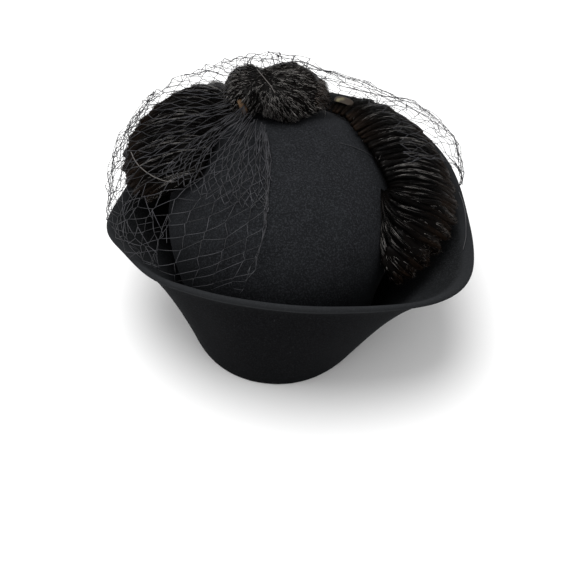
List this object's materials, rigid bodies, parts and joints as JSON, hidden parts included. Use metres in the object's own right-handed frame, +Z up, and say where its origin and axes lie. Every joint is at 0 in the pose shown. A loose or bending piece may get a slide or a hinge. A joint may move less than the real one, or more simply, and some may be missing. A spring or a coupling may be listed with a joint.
{
  "type": "veiled felt hat",
  "caption": "Black felt hat with a domed crown, a tall turned-up brim, ribbed dark fur pads and a diamond net veil.",
  "frame": {"origin": "centre of the hat's footprint box, in the plane of the folded rim that it stands on", "axes": "+Z up through the top of the crown, -Y the back of the hat, +Y the wearer's front, +X the wearer's right"},
  "size_m": [0.26, 0.2302, 0.1573],
  "materials": {
    "felt": "matte",
    "fur": "satin",
    "net": "matte",
    "hide_tan": "satin",
    "hide_pale": "matte"
  },
  "bodies": {
    "root": {"crown": "felt", "brim": "felt", "fur_left": "fur", "fur_knot": "fur", "fur_right": "fur", "veil": "net", "hide_tab": "hide_tan", "hide_patch": "hide_pale"}
  },
  "joints": []
}
